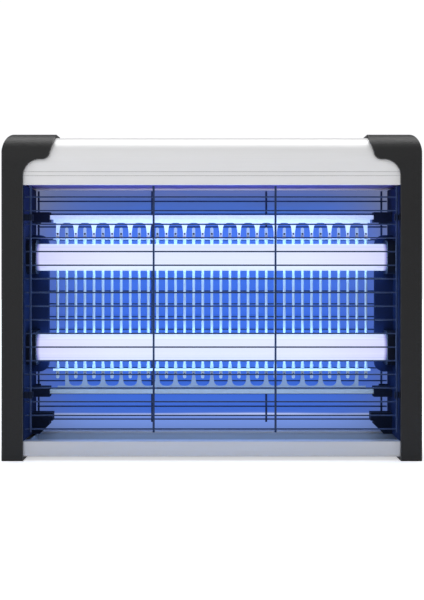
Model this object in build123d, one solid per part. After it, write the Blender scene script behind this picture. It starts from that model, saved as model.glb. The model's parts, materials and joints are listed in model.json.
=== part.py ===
from build123d import *
import os

# Two-sided electric bug zapper: an aluminium housing over two ultraviolet tubes and a
# high voltage grid, held between two black end caps, with a wire guard front and rear.
# Millimetres. +X to the right, +Y to the rear, +Z up, origin under the middle of the object.

# --- driving sizes -------------------------------------------------------------------
width = 390.0              # over the end caps
depth = 90.0               # over the end caps
height = 305.0             # to the crest of the end caps

# --- end caps ------------------------------------------------------------------------
cap_width = 20.0           # face of a cap beside the opening
cap_wall = 3.0
cap_fit = 0.3              # gap between a cap and what slides into it
hook_reach = 48.0          # how far a cap reaches in over the housing, at the crest
hook_slant = 3.5           # lean of the hook's edge below the crest
hook_drop = 18.5           # crest down to the end of the hook's leaning edge
hook_nose_radius = 6.8
hook_throat_radius = 15.5
shoulder_width = 9.5       # rounding of a cap's outer top corner
shoulder_drop = 19.5
cap_edge_radius = 2.0

# --- aluminium housing and rails -------------------------------------------------------
housing_wall = 1.5
housing_height = 49.0      # its lower edge up to the crest of the end caps
housing_shoulder = 24.0    # radius of the housing's front and rear shoulders
housing_lip = 4.0          # inward lip that carries the floor plate
groove_heights = (8.5, 12.2)   # fine lines above the housing's lower edge
groove_width = 0.6
groove_depth = 0.4
floor_plate = 1.2
rail_bottom = 3.8
rail_height = 14.2
rail_wall = 1.5
rail_top_flange = 12.5
rail_foot_flange = 17.0    # the tray slides on these
rail_edge_radius = 0.8
channel_radius = 3.4       # screw channels inside the extrusions
channel_bore = 1.4
channel_bite = 0.4         # how far a channel merges into the wall beside it
housing_channel_rise = 16.0

# --- collection tray -----------------------------------------------------------------
tray_side_gap = 3.8        # tray's side to the rails' screw channels
tray_wall = 1.2
tray_gap = 0.3
tray_end_gap = 2.0
tray_notch_radius = 9.0

# --- lamps ---------------------------------------------------------------------------
tube_radius = 12.7
tube_wall = 0.9
tube_end_gap = 9.5         # end of the glass to the lamp carrier
tube_cap_length = 5.5
tube_y = -12.0
upper_tube_drop = 67.0     # below the housing
lower_tube_rise = 85.2     # above the rails
pin_radius = 1.2
pin_spacing = 12.7
pin_length = 7.0
rotor_thickness = 1.6
rotor_fit = 0.35
holder_wall = 3.3
holder_rear_wall = 1.6
holder_lip = 0.2           # bare glass before the holder's mouth
holder_corner = 7.0
holder_bore_gap = 0.5

# --- lamp carriers -------------------------------------------------------------------
carrier_wall = 2.5
carrier_inset = 0.5        # carrier's face in front of the cap's
carrier_gap = 0.3
block_reach = 17.5         # how far the lamp block stands in from the carrier wall
block_overhang_top = 21.5  # block above the upper tube's axis
block_overhang_foot = 24.2 # block below the lower tube's axis
block_depth = 7.0
block_corner = 9.0
lead_hole_radius = 9.0     # opening behind each lampholder
post_radius = 4.5          # pillars in a cap that back the carrier wall
post_inset = 15.0          # from the faces of the caps
low_post_rise = 52.0       # above the rails
high_post_drop = 26.0      # below the housing
gusset_reach = 20.5
gusset_height = 20.7
gusset_toe = 8.0           # width of its foot, and height of its upright tip
gusset_step = (3.0, 3.5)

# --- high voltage grid -----------------------------------------------------------------
grid_y = 14.0
rod_pitch = 8.82
rod_end_gap = 24.5         # least distance from a rod to a lamp carrier
rod_radius = 1.35
comb_thickness = 1.0
comb_side_margin = 4.0
comb_band = 3.2            # solid band of a comb plate along its bar
arch_inset = 2.82          # narrower than a pitch by this, at an arch's round end
arch_crown = 1.0           # half the straight part of its round end
arch_taper = 9.0           # length over which a tooth narrows to its tip's width
tip_half_width = 1.55      # of a comb tooth's tip and of a rod's free end
upper_tip_reach = 11.4     # free ends beyond the far side of their spacer strip
lower_tip_reach = 9.6
tip_bore = 0.7
tip_bore_rise = 5.3
tip_tail = 0.7             # how far a tip comes out of the strip towards the rods
ferrule_radius = 1.7       # crimped sleeve that joins a tip to its rod
ferrule_length = 3.5
tip_seat = 1.0             # how far a tip sits in its sleeve
top_bar_drop = 30.0        # below the housing
bottom_bar_rise = 43.0     # above the rails
bar_height = 4.0
bar_depth = 8.0
bar_wall = 1.0
bar_overhang = 3.0
strip_height = 2.0
strip_depth = 7.0
strip_fit = 0.15
upper_strip_drop = 19.3    # underside of each strip, from the near side of its bar
lower_strip_rise = 18.0
grid_holder_height = 9.8
grid_holder_depth = 14.0
grid_holder_grip = 4.0     # how far a bar sits in its holder
grid_holder_fit = 0.1

# --- guards --------------------------------------------------------------------------
guard_inset = 7.0          # horizontal wires in from the faces of the caps
guard_wire_pitch = 12.7
guard_wire_radius = 0.7
guard_first_rise = 11.0    # lowest wire above the rails
guard_tail = 3.0           # uprights below the lowest wire
upright_radius = 1.0
hinge_gap = 6.1            # outer uprights in from the lamp carriers
latch_gap = 2.6
upright_shares = (0.0, 0.336, 0.669, 1.0)  # of the way from hinge to latch
upright_weld = 0.1
guard_hinge_tail = 5.2
guard_latch_tail = 0.8
guard_clear = 1.0
eye_wall = 1.6
eye_fit = 0.08
eye_height = 6.0
clip_gap = 0.4
clip_wall = 0.8
clip_depth = 5.0

# --- electrics -----------------------------------------------------------------------
board_end_gap = 69.5       # board's end to the lamp carriers
board_depth = 56.0
board_thickness = 1.6
pillar_height = 6.0
pillar_radius = 3.0
lead_radius = 0.9
lead_bend = 2.5
lead_spacing = 3.0         # between neighbouring leads
lead_run = 14.0            # straight length that a lead needs before it turns
capacitor_size = (11.0, 8.0, 11.0)
capacitor_count = 4
capacitor_pitch = 13.0
capacitor_y = -16.0
reservoir_radius = 8.0
reservoir_height = 20.0
reservoir_y = 10.0
fuse_radius = 2.6
fuse_length = 20.0
fuse_place = (-26.0, 18.0)
fuse_clip = (4.0, 5.0, 4.5)    # length, width, height of the fuse's axis
terminal_size = (20.0, 30.0, 12.0)
terminal_pitch = 10.0
terminal_gap = 20.0        # board's end to the terminal block
terminal_entry = 4.0       # height of the wires that enter it
terminal_bore = 2.2
gland_radius = 4.8
gland_bore = 3.2
gland_flange = 7.0
gland_flange_thickness = 1.4
gland_nut_thickness = 3.0
gland_z = 40.0
gland_shift = 1.0          # from the middle of the cap's hollow, outwards
screw_radius = 1.4
screw_head_radius = 2.9
screw_head_height = 1.6
screw_grip = 9.0           # length of thread in what a screw holds
screw_clear = 0.2
screw_cross = (3.4, 0.7, 1.0)  # length, width, depth of the driver's recess

# --- worked-out places ------------------------------------------------------------------
half_width = width / 2
half_depth = depth / 2
cap_face_x = half_width - cap_width
cap_inner_x = half_width - cap_wall
housing_half_depth = half_depth - cap_wall - cap_fit
housing_crest = height - cap_wall - cap_fit
housing_bottom = height - housing_height
housing_end_x = half_width - max(shoulder_width, cap_wall) - cap_fit
floor_bottom = housing_bottom + housing_wall
floor_top = floor_bottom + floor_plate
rail_top = rail_bottom + rail_height
carrier_x = cap_face_x - carrier_inset
channel_y = housing_half_depth - rail_wall - channel_radius + channel_bite
tray_half_width = channel_y - channel_radius - tray_side_gap
tube_half_length = carrier_x - tube_end_gap
upper_tube_z = housing_bottom - upper_tube_drop
lower_tube_z = rail_top + lower_tube_rise
holder_half_height = tube_radius + holder_wall
holder_rear_y = tube_y + tube_radius + holder_rear_wall
holder_mouth_x = tube_half_length + holder_lip
tray_floor_z = rail_bottom + rail_wall + tray_gap
tray_top_z = rail_top - rail_wall - tray_gap
tray_left_x = -(carrier_x - tray_end_gap)
rod_steps = int((carrier_x - rod_end_gap) / rod_pitch)    # rods each side of the middle one
rod_count = 2 * rod_steps + 1
rod_span = rod_steps * rod_pitch
arch_half_width = rod_pitch - arch_inset
arch_corner = arch_half_width - arch_crown
top_bar_z = housing_bottom - top_bar_drop
bottom_bar_z = rail_top + bottom_bar_rise
upper_strip_z = top_bar_z - upper_strip_drop
lower_strip_z = bottom_bar_z + lower_strip_rise
comb_half_length = rod_span + comb_side_margin
bar_half_length = comb_half_length + bar_overhang + grid_holder_grip
grid_holder_x = bar_half_length - grid_holder_grip
guard_y = half_depth - guard_inset
guard_top_z = housing_bottom - guard_clear
guard_first_wire_z = rail_top + guard_first_rise
guard_bottom_z = guard_first_wire_z - guard_tail
guard_wire_count = int((guard_top_z - guard_first_wire_z) / guard_wire_pitch) + 1
hinge_x = -(carrier_x - hinge_gap)
latch_x = carrier_x - latch_gap
upright_places = [hinge_x + share * (latch_x - hinge_x) for share in upright_shares]
upright_y = guard_y + guard_wire_radius + upright_radius - upright_weld
board_z = floor_top + pillar_height
board_top = board_z + board_thickness
board_length = 2 * (carrier_x - board_end_gap)
terminal_x = -(board_length / 2 + terminal_gap + terminal_size[0] / 2)
rail_channel_z = rail_bottom + rail_height / 2
housing_channel_z = housing_bottom + housing_channel_rise
block_top_z = upper_tube_z + block_overhang_top
block_bottom_z = lower_tube_z - block_overhang_foot
holder_back_x = tube_half_length + tube_cap_length + rotor_thickness + rotor_fit
bar_y = grid_y + comb_thickness / 2
top_holder_z = top_bar_z + bar_height / 2
bottom_holder_z = bottom_bar_z - bar_height / 2
# far side of a strip, the way to the ends, and how far they reach
upper_tip = (upper_strip_z, 1, upper_tip_reach)
lower_tip = (lower_strip_z + strip_height, -1, lower_tip_reach)
gland_x = (cap_face_x + cap_inner_x) / 2 + gland_shift
post_y = half_depth - post_inset
low_post_z = rail_top + low_post_rise
high_post_z = housing_bottom - high_post_drop
post_heights = (low_post_z, (low_post_z + high_post_z) / 2, high_post_z)
fitting_heights = [guard_first_wire_z + guard_wire_pitch * (i + 0.5) for i in (2, guard_wire_count - 3)]
sides = (("left", -1), ("right", 1))


# --- helpers -------------------------------------------------------------------------
def box(x0, x1, y0, y1, z0, z1):
    """A block between six planes, given in any order along each axis."""
    size = (abs(x1 - x0), abs(y1 - y0), abs(z1 - z0))
    return Pos((x0 + x1) / 2, (y0 + y1) / 2, (z0 + z1) / 2) * Box(*size)


def rod_x(radius, x0, x1, y, z):
    """A round bar along X."""
    return Pos((x0 + x1) / 2, y, z) * Rot(0, 90, 0) * Cylinder(radius, abs(x1 - x0))


def rod_y(radius, y0, y1, x, z):
    """A round bar along Y."""
    return Pos(x, (y0 + y1) / 2, z) * Rot(90, 0, 0) * Cylinder(radius, abs(y1 - y0))


def rod_z(radius, z0, z1, x, y):
    """A round bar along Z."""
    return Pos(x, y, (z0 + z1) / 2) * Cylinder(radius, abs(z1 - z0))


def mirrored(shape, side):
    """The right-hand shape, or its mirror image on the left."""
    return shape if side > 0 else mirror(shape, about=Plane.YZ)


def turned(shape):
    """A front part turned half a turn about Z, as its rear twin."""
    return Rot(0, 0, 180) * shape


def group(shapes):
    """Separate solids kept side by side in one part."""
    solids = []
    for shape in shapes:
        solids.extend(shape.solids())
    return Compound(children=solids)


def write(name, shape):
    """Save one part of the assembly."""
    export_step(shape, "parts/" + name + ".step")


def arch_prism(half_span, bottom, crest, shoulder, x0, x1):
    """A bar along X whose section is an upright block with two rounded shoulders."""
    section = Pos(0, (bottom + crest) / 2) * Rectangle(2 * half_span, crest - bottom)
    section = fillet(section.vertices().sort_by(Axis.Y)[-2:], shoulder)
    return extrude(Plane.YZ.offset(x0) * section, x1 - x0)


# --- end caps ------------------------------------------------------------------------
def cap_outline(inset):
    """Front outline of the right cap, shrunk on its outer side by inset."""
    outer = half_width - inset
    top = height
    corner = (half_width - shoulder_width, height - shoulder_drop)
    arc_width = shoulder_width - inset
    arc_drop = shoulder_drop - inset
    hook_x = half_width - hook_reach
    nose_top = (hook_x + hook_slant, height - hook_drop)
    nose_end = (nose_top[0] + hook_nose_radius, nose_top[1] - hook_nose_radius)
    throat_end = (cap_face_x, nose_end[1] - hook_throat_radius)
    throat_start = (cap_face_x - hook_throat_radius, nose_end[1])
    shoulder = EllipticalCenterArc(corner, arc_width, arc_drop, start_angle=0, arc_size=90)
    outline = [
        Line((cap_face_x, 0), (outer, 0)),
        Line((outer, 0), (outer, corner[1])),
        shoulder,
        Line((corner[0], top - inset), (hook_x, top - inset)),
        Line((hook_x, top - inset), (hook_x, top - hook_drop / 3)),
        Line((hook_x, top - hook_drop / 3), nose_top),
        RadiusArc(nose_top, nose_end, -hook_nose_radius),
        Line(nose_end, throat_start),
        RadiusArc(throat_start, throat_end, hook_throat_radius),
        Line(throat_end, (cap_face_x, 0)),
    ]
    return make_face(Plane.XZ * Wire(outline))


def cap_shell():
    """The moulded shell that both end caps start from, right-hand side."""
    start_x = half_width - hook_reach - 1
    outer_shoulder = housing_shoulder + cap_fit + cap_wall
    outer = arch_prism(half_depth, 0, height, outer_shoulder, start_x, half_width + 1)
    outer &= extrude(cap_outline(0), depth, both=True)
    footprint = Pos((start_x + half_width) / 2, 0) * Rectangle(half_width - start_x, depth)
    footprint = fillet(footprint.vertices().sort_by(Axis.X)[-2:], cap_edge_radius)
    outer &= extrude(footprint, height)
    inner_half = half_depth - cap_wall
    inner_shoulder = housing_shoulder + cap_fit
    hollow = arch_prism(inner_half, cap_wall, height - cap_wall, inner_shoulder, start_x, cap_inner_x)
    trim = extrude(cap_hollow_outline(start_x), depth, both=True)
    return outer - (hollow & trim)


def cap_hollow_outline(start_x):
    """Outline that keeps a cap's hollow one wall inside its rounded top corner."""
    corner = (half_width - shoulder_width, height - shoulder_drop)
    arc_width = shoulder_width - cap_wall
    arc_drop = shoulder_drop - cap_wall
    top = height - cap_wall
    outline = [
        Line((start_x, 0), (cap_inner_x, 0)),
        Line((cap_inner_x, 0), (cap_inner_x, corner[1])),
        EllipticalCenterArc(corner, arc_width, arc_drop, start_angle=0, arc_size=90),
        Line((corner[0], top), (start_x, top)),
        Line((start_x, top), (start_x, 0)),
    ]
    return make_face(Plane.XZ * Wire(outline))


def screw_places():
    """Y and Z of the four screws that hold a cap to the extrusions."""
    return [(y, z) for y in (-channel_y, channel_y) for z in (rail_channel_z, housing_channel_z)]


def cap_screw_cuts():
    """Clearance hole and head recess of each cap screw."""
    cuts = []
    for y, z in screw_places():
        cuts.append(rod_x(screw_radius + screw_clear, cap_inner_x - 1, half_width, y, z))
        seat_x = half_width - screw_head_height - screw_clear
        cuts.append(rod_x(screw_head_radius + screw_clear, seat_x, half_width + 1, y, z))
    return cuts


def cap_posts():
    """Pillars inside a cap that the lamp carrier rests against."""
    posts = []
    for y in (-post_y, post_y):
        for z in post_heights:
            posts.append(rod_x(post_radius, carrier_x + carrier_wall, cap_inner_x + 1, y, z))
    return posts


def make_cap(side):
    cap = cap_shell() + cap_posts() - cap_screw_cuts()
    if side > 0:
        slot_half = tray_half_width + 2 * tray_gap
        cap -= box(cap_inner_x - 1, half_width + 1, -slot_half, slot_half,
                   tray_floor_z - tray_gap, tray_top_z + tray_gap)
        return cap
    cap = mirrored(cap, side)
    rear_wall = half_depth - cap_wall
    flange_seat = half_depth - gland_flange_thickness
    cap -= rod_y(gland_radius + 0.1, rear_wall - 1, half_depth + 1, -gland_x, gland_z)
    cap -= rod_y(gland_flange + 0.2, flange_seat, half_depth + 1, -gland_x, gland_z)
    return cap


def make_cap_screws():
    """Eight recessed screws, four through each cap into the extrusions."""
    long, short, recess = screw_cross
    face_x = half_width - screw_clear
    screws = []
    for _, side in sides:
        for y, z in screw_places():
            head = rod_x(screw_head_radius, face_x - screw_head_height, face_x, y, z)
            shank = rod_x(screw_radius, housing_end_x - screw_grip, face_x - recess, y, z)
            bar = box(face_x - recess, half_width, y - long / 2, y + long / 2, z - short / 2, z + short / 2)
            cross = box(face_x - recess, half_width, y - short / 2, y + short / 2, z - long / 2, z + long / 2)
            screws.append(mirrored(head + shank - bar - cross, side))
    return group(screws)


# --- housing, floor and rails -------------------------------------------------------------
def make_housing():
    end = housing_end_x
    wall = housing_wall
    half = housing_half_depth
    shell = arch_prism(half, housing_bottom, housing_crest, housing_shoulder, -end, end)
    shell -= arch_prism(half - wall, housing_bottom - 1, housing_crest - wall,
                        housing_shoulder - wall, -end - 1, end + 1)
    for face in (-1, 1):
        shell += box(-end, end, face * (half - housing_lip), face * (half - wall / 2),
                     housing_bottom, housing_bottom + wall)
        shell += rod_x(channel_radius, -end, end, face * channel_y, housing_channel_z)
        shell -= rod_x(channel_bore, -end - 1, end + 1, face * channel_y, housing_channel_z)
        for rise in groove_heights:
            z = housing_bottom + rise
            shell -= box(-end - 1, end + 1, face * (half - groove_depth), face * (half + 1),
                         z - groove_width / 2, z + groove_width / 2)
    return shell


def make_floor():
    """Plate that closes the housing from below, on the housing's lips."""
    half = housing_half_depth - housing_wall - cap_fit
    end = carrier_x + carrier_wall
    return box(-end, end, -half, half, floor_bottom, floor_top)


def make_front_rail():
    end = housing_end_x
    outer = -housing_half_depth
    rail = box(-end, end, outer, outer + rail_wall, rail_bottom, rail_top)
    rail += box(-end, end, outer, outer + rail_top_flange, rail_top - rail_wall, rail_top)
    rail += box(-end, end, outer, outer + rail_foot_flange, rail_bottom, rail_bottom + rail_wall)
    rail += rod_x(channel_radius, -end, end, -channel_y, rail_channel_z)
    rail -= rod_x(channel_bore, -end - 1, end + 1, -channel_y, rail_channel_z)
    edges = rail.edges().filter_by(Axis.X)
    edges = edges.filter_by(lambda e: abs(e.center().Y - outer) < 0.01)
    return fillet(edges, rail_edge_radius)


# --- collection tray ------------------------------------------------------------------
def make_tray():
    right = cap_inner_x
    tray = box(tray_left_x, right, -tray_half_width, tray_half_width, tray_floor_z, tray_top_z)
    inner = tray_half_width - tray_wall
    tray -= box(tray_left_x + tray_wall, right - tray_wall, -inner, inner,
                tray_floor_z + tray_wall, tray_top_z + 1)
    return tray


def make_tray_pull():
    """End plate of the tray, flush in the right cap, with a finger notch."""
    half = tray_half_width + tray_gap
    plate = box(cap_inner_x, half_width, -half, half, tray_floor_z, tray_top_z)
    notch_z = tray_top_z + tray_notch_radius / 2
    return plate - rod_x(tray_notch_radius, cap_inner_x + cap_wall / 2, half_width + 1, 0, notch_z)


# --- lamp carriers, lampholders and gussets -------------------------------------------------
def rounded_block(x0, x1, y0, y1, z0, z1, radius, corners):
    """A block whose chosen corners, seen from the front, are rounded."""
    block = box(x0, x1, y0, y1, z0, z1)
    edges = block.edges().filter_by(Axis.Y)
    picked = [e for e in edges if corners(e.center())]
    return fillet(picked, radius)


def make_carrier(side):
    """Moulded side wall inside a cap, with the block that backs the lampholders."""
    half = half_depth - cap_wall - cap_fit
    wall = box(carrier_x, carrier_x + carrier_wall, -half, half,
               rail_top + carrier_gap, housing_bottom - carrier_gap)
    block_x = carrier_x - block_reach
    block = rounded_block(block_x, carrier_x, holder_rear_y, holder_rear_y + block_depth,
                          block_bottom_z, block_top_z, block_corner,
                          lambda c: c.X < block_x + 0.1)
    carrier = wall + block
    for z in (upper_tube_z, lower_tube_z):
        carrier -= rod_x(lead_hole_radius, carrier_x - 1, carrier_x + carrier_wall + 1, tube_y, z)
    for y, z in carrier_screw_places():
        carrier -= rod_x(screw_radius + screw_clear, carrier_x - 1, carrier_x + carrier_wall + 1, y, z)
    return mirrored(carrier, side)


def make_lampholder(side, z):
    """Rounded socket that a tube's end sits and turns in."""
    block = box(holder_mouth_x, carrier_x, tube_y - holder_half_height, holder_rear_y,
                z - holder_half_height, z + holder_half_height)
    edges = block.edges().filter_by(Axis.X)
    edges = edges.filter_by(lambda e: e.center().Y < tube_y)
    block = fillet(edges, holder_corner)
    block -= rod_x(tube_radius + holder_bore_gap, holder_mouth_x - 1, holder_back_x, tube_y, z)
    block -= rod_x(lead_hole_radius, holder_back_x - 1, carrier_x + 1, tube_y, z)
    return mirrored(block, side)


def make_rotor(side, z):
    """Insulating disc that carries a tube's contacts and turns with the tube."""
    start = tube_half_length + tube_cap_length
    disc = rod_x(tube_radius - rotor_fit, start, start + rotor_thickness, tube_y, z)
    for dz in (-pin_spacing / 2, pin_spacing / 2):
        disc -= rod_x(pin_radius, start - 1, start + rotor_thickness + 1, tube_y, z + dz)
    return mirrored(disc, side)


def make_tube_glass(z):
    glass = rod_x(tube_radius, -tube_half_length, tube_half_length, tube_y, z)
    return glass - rod_x(tube_radius - tube_wall, -tube_half_length - 1, tube_half_length + 1, tube_y, z)


def make_tube_caps(z):
    """The pair of metal caps that close a tube's glass."""
    caps = []
    for _, side in sides:
        end = tube_half_length + tube_cap_length
        cup = rod_x(tube_radius, tube_half_length, end, tube_y, z)
        cup -= rod_x(tube_radius - tube_wall, tube_half_length - 1, end - tube_wall, tube_y, z)
        caps.append(mirrored(cup, side))
    return group(caps)


def make_tube_pins(z):
    """Two contact pins at each end of a tube."""
    pins = []
    start = tube_half_length + tube_cap_length
    for _, side in sides:
        for dz in (-pin_spacing / 2, pin_spacing / 2):
            pins.append(mirrored(rod_x(pin_radius, start, start + pin_length, tube_y, z + dz), side))
    return group(pins)


def make_gusset(side):
    """Stepped corner piece between a carrier's foot and the rails."""
    foot = rail_top + carrier_gap
    top = foot + gusset_height
    tip = carrier_x - gusset_reach
    step_x, step_z = gusset_step
    tip_z = top - gusset_toe
    outline = Polyline((carrier_x, foot), (carrier_x, top), (tip, top), (tip, tip_z),
                       (tip + step_x, tip_z), (tip + step_x, tip_z - step_z),
                       (carrier_x - gusset_toe, foot), close=True)
    face = make_face(Plane.XZ.offset(-bar_y) * outline)
    gusset = extrude(face, grid_holder_depth / 2, both=True)
    screw_z = foot + gusset_height / 2
    gusset -= rod_x(screw_radius, carrier_x - screw_grip - 0.5, carrier_x + 1, bar_y, screw_z)
    return mirrored(gusset, side)


def carrier_screw_places():
    """Y and Z of the screws that hold the grid holders and gusset to a carrier."""
    heights = (top_holder_z, bottom_holder_z, rail_top + carrier_gap + gusset_height / 2)
    return [(bar_y, z) for z in heights]


def make_carrier_screws():
    screws = []
    head_x = carrier_x + carrier_wall
    for _, side in sides:
        for y, z in carrier_screw_places():
            head = rod_x(screw_head_radius, head_x, head_x + screw_head_height, y, z)
            shank = rod_x(screw_radius, carrier_x - screw_grip, head_x + 0.5, y, z)
            screws.append(mirrored(head + shank, side))
    return group(screws)


# --- high voltage grid ------------------------------------------------------------------
def rod_x_places(start):
    """Every second rod's place along X, from the given first one."""
    return [-rod_span + i * rod_pitch for i in range(start, rod_count, 2)]


def tip_hole(x, tip):
    """Small hole through a tooth or a free end."""
    strip_z, out, _ = tip
    return rod_y(tip_bore, bar_y - comb_thickness, bar_y + comb_thickness, x, strip_z + out * tip_bore_rise)


def make_comb(edge_z, tip, first_tooth, half_length):
    """Comb plate on one grid bar, with a tooth for every second rod."""
    strip_z, out, _ = tip
    root_z = edge_z - out * comb_band
    tip_z = strip_z - out * tip_tail
    seat_z = edge_z + out * (bar_height - bar_wall)
    taper_z = root_z - out * arch_taper
    plate = box(-half_length, half_length, grid_y, grid_y + comb_thickness, seat_z, tip_z)
    mouth = rod_pitch - tip_half_width
    end_z = tip_z - out
    for x in rod_x_places(1 - first_tooth):
        arch = Polyline((x - mouth, end_z), (x - mouth, taper_z), (x - arch_half_width, root_z),
                        (x + arch_half_width, root_z), (x + mouth, taper_z), (x + mouth, end_z), close=True)
        face = make_face(Plane.XZ * arch)
        corners = face.vertices().filter_by(lambda v: abs(v.Z - root_z) < 0.01)
        face = fillet(corners, arch_corner)
        plate -= Pos(0, grid_y, 0) * extrude(face, depth / 4, both=True)
    for x in rod_x_places(first_tooth):
        plate -= tip_hole(x, tip)
    last_tooth = rod_span - first_tooth * rod_pitch
    for edge in (-1, 1):
        plate -= box(edge * (last_tooth + tip_half_width), edge * (half_length + 1),
                     grid_y - 1, grid_y + 2, root_z, tip_z - out)
    return plate


def make_rods(start, toothed_tip, free_tip):
    """Grid rods: one sleeve holds a comb's tooth, the other a loose flat end."""
    tooth_z, tooth_out, _ = toothed_tip
    free_z, free_out, reach = free_tip
    tooth_neck = tooth_z - tooth_out * tip_tail
    free_neck = free_z - free_out * tip_tail
    rods = []
    for x in rod_x_places(start):
        rod = rod_z(rod_radius, tooth_neck, free_neck, x, bar_y)
        for neck, out in ((tooth_neck, tooth_out), (free_neck, free_out)):
            mouth_z = neck + out * (tip_seat - tip_tail)
            rod += rod_z(ferrule_radius, neck - out * ferrule_length, mouth_z, x, bar_y)
        round_z = free_z + free_out * (reach - tip_half_width)
        flat = box(x - tip_half_width, x + tip_half_width, bar_y - comb_thickness / 2,
                   bar_y + comb_thickness / 2, free_neck - free_out, round_z)
        flat += rod_y(tip_half_width, bar_y - comb_thickness / 2, bar_y + comb_thickness / 2, x, round_z)
        rods.append(rod + flat - tip_hole(x, free_tip))
    return group(rods)


def make_bar(edge_z, out):
    """Channel that carries a comb; edge_z is the side that the comb leaves by."""
    far_z = edge_z - out * bar_height
    bar = box(-bar_half_length, bar_half_length, bar_y - bar_depth / 2, bar_y + bar_depth / 2,
              edge_z, far_z)
    inner = bar_depth / 2 - bar_wall
    return bar - box(-bar_half_length - 1, bar_half_length + 1, bar_y - inner, bar_y + inner,
                     edge_z + out, far_z + out * bar_wall)


def make_strip(bottom_z):
    """Insulating strip with a slot for every tooth and free end."""
    strip = box(-comb_half_length, comb_half_length, bar_y - strip_depth / 2, bar_y + strip_depth / 2,
                bottom_z, bottom_z + strip_height)
    slot_half = tip_half_width + strip_fit
    slot_depth = comb_thickness / 2 + strip_fit
    for start in (0, 1):
        for x in rod_x_places(start):
            strip -= box(x - slot_half, x + slot_half, bar_y - slot_depth, bar_y + slot_depth,
                         bottom_z - 1, bottom_z + strip_height + 1)
    return strip


def make_grid_holder(side, centre_z):
    """Insulating block that holds one end of a grid bar."""
    half = grid_holder_height / 2
    holder = box(grid_holder_x, carrier_x, bar_y - grid_holder_depth / 2, bar_y + grid_holder_depth / 2,
                 centre_z - half, centre_z + half)
    fit = grid_holder_fit
    holder -= box(grid_holder_x - 1, bar_half_length + fit, bar_y - bar_depth / 2 - fit,
                  bar_y + bar_depth / 2 + fit, centre_z - bar_height / 2 - fit,
                  centre_z + bar_height / 2 + fit)
    holder -= rod_x(screw_radius, carrier_x - screw_grip - 0.5, carrier_x + 1, bar_y, centre_z)
    return mirrored(holder, side)


# --- guards ------------------------------------------------------------------------------
def make_guard_wires():
    """The front guard's horizontal wires."""
    left = hinge_x - guard_hinge_tail
    right = latch_x + guard_latch_tail
    wires = []
    for i in range(guard_wire_count):
        z = guard_first_wire_z + i * guard_wire_pitch
        wires.append(rod_x(guard_wire_radius, left, right, -guard_y, z))
    return group(wires)


def make_guard_uprights():
    """The front guard's upright wires, welded outside the horizontal ones."""
    return group([rod_z(upright_radius, guard_bottom_z, guard_top_z, x, -upright_y)
                  for x in upright_places])


def make_guard_fittings():
    """Hinge eyes on the left carrier and spring clips on the right one, for the front guard."""
    fittings = []
    eye_outer = upright_radius + eye_fit + eye_wall
    for z in fitting_heights:
        low = z - eye_height / 2
        high = z + eye_height / 2
        eye = rod_z(eye_outer, low, high, hinge_x, -upright_y)
        eye += box(-carrier_x, hinge_x, -upright_y - eye_wall, -upright_y + eye_wall, low, high)
        eye -= rod_z(upright_radius + eye_fit, low - 1, high + 1, hinge_x, -upright_y)
        fittings.append(eye)
        back = -upright_y + upright_radius + clip_gap
        inner = upright_radius + clip_gap
        clip = box(latch_x - inner - clip_wall, carrier_x, back - clip_depth, back + clip_wall, low, high)
        clip -= box(latch_x - inner, latch_x + inner, back - clip_depth - 1, back, low - 1, high + 1)
        fittings.append(clip)
    return group(fittings)


# --- electrics -----------------------------------------------------------------------------
def make_board():
    board = box(-board_length / 2, board_length / 2, -board_depth / 2, board_depth / 2,
                board_z, board_top)
    for x, y in pillar_places():
        board -= rod_z(screw_radius, board_z - 1, board_top + 1, x, y)
    return board


def pillar_places():
    x = board_length / 2 - 8
    y = board_depth / 2 - 6
    return [(sx * x, sy * y) for sx in (-1, 1) for sy in (-1, 1)]


def make_pillars():
    pillars = []
    for x, y in pillar_places():
        pillars.append(rod_z(pillar_radius, floor_top, board_z, x, y) +
                       rod_z(screw_radius, board_z - 1, board_top + 1.5, x, y))
    return group(pillars)


def make_core(x, length, core_depth, core_height):
    """Laminated core with a window each side of its middle leg."""
    core = box(x - length / 2, x + length / 2, -core_depth / 2, core_depth / 2,
               board_top, board_top + core_height)
    leg = length / 8
    for side in (-1, 1):
        core -= box(x + side * leg, x + side * 3 * leg, -core_depth, core_depth,
                    board_top + leg, board_top + core_height - leg)
    return core


def make_winding(x, length, core_depth, core_height):
    """Coil round the middle leg of a core."""
    leg = length / 8
    low = board_top + leg
    high = board_top + core_height - leg
    outer = 3 * leg - 0.2
    coil = box(x - outer, x + outer, -core_depth / 2 - 4, core_depth / 2 + 4, low + 0.2, high - 0.2)
    coil -= box(x - leg, x + leg, -core_depth / 2, core_depth / 2, low - 1, high + 1)
    edges = coil.edges().filter_by(Axis.Z)
    edges = edges.filter_by(lambda e: abs(e.center().Y) > core_depth / 2 + 1)
    return fillet(edges, 3)


def make_capacitors():
    """Film capacitors of the voltage multiplier, in a row."""
    length, block_width, block_height = capacitor_size
    blocks = []
    for i in range(capacitor_count):
        x = (i - capacitor_count / 2 + 0.5) * capacitor_pitch
        block = box(x - length / 2, x + length / 2, capacitor_y - block_width / 2,
                    capacitor_y + block_width / 2, board_top, board_top + block_height)
        blocks.append(fillet(block.edges().filter_by(Axis.Z), 1.5))
    return group(blocks)


def make_reservoir():
    can = rod_z(reservoir_radius, board_top, board_top + reservoir_height, 0, reservoir_y)
    return fillet(can.edges().sort_by(Axis.Z)[-1], 1)


def make_fuse():
    """Glass fuse in its two clips."""
    clip_length, clip_width, axis_rise = fuse_clip
    centre_x, y = fuse_place
    z = board_top + axis_rise
    body = rod_x(fuse_radius, centre_x - fuse_length / 2, centre_x + fuse_length / 2, y, z)
    for side in (-1, 1):
        x = centre_x + side * (fuse_length - clip_length) / 2
        body += box(x - clip_length / 2, x + clip_length / 2, y - clip_width / 2, y + clip_width / 2,
                    board_top, z)
    return body


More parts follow.
